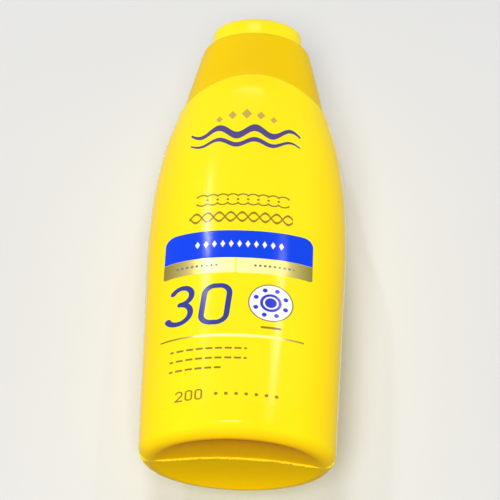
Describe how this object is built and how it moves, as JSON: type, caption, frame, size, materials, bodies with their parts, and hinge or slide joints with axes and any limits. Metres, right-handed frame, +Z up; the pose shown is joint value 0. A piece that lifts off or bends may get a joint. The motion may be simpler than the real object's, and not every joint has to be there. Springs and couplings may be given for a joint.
{
  "type": "lotion squeeze bottle",
  "caption": "Flat-sided oval squeeze bottle for sun lotion, with a tapering push-on closure and a hinged flip-top lid over a small spout.",
  "frame": {"origin": "centre of the bottle's base, on the surface it stands on", "axes": "+Z up along the bottle to the lid, -Y out of the front label, +Y to the hinge side, +X to the right of someone facing the front"},
  "size_m": [0.0632, 0.0376, 0.1783],
  "materials": {
    "bottle": "gloss",
    "closure": "satin",
    "lid": "semi-gloss",
    "hinge": "satin",
    "front_label": "printed gloss film",
    "back_label": "printed gloss film"
  },
  "bodies": {
    "container": {"bottle": "bottle", "closure_base": "closure", "spout_nozzle": "closure", "spout_tube": "closure", "hinge_film": "hinge", "front_label": "front_label", "back_label": "back_label"},
    "lid": {"flip_lid": "lid"}
  },
  "joints": [
    {"name": "lid_hinge", "type": "hinge", "parent": "container", "child": "lid", "pos_m": [0, 0.0092, 0.16815], "axis": [-1, 0, 0], "range_deg": [0, 125]}
  ]
}
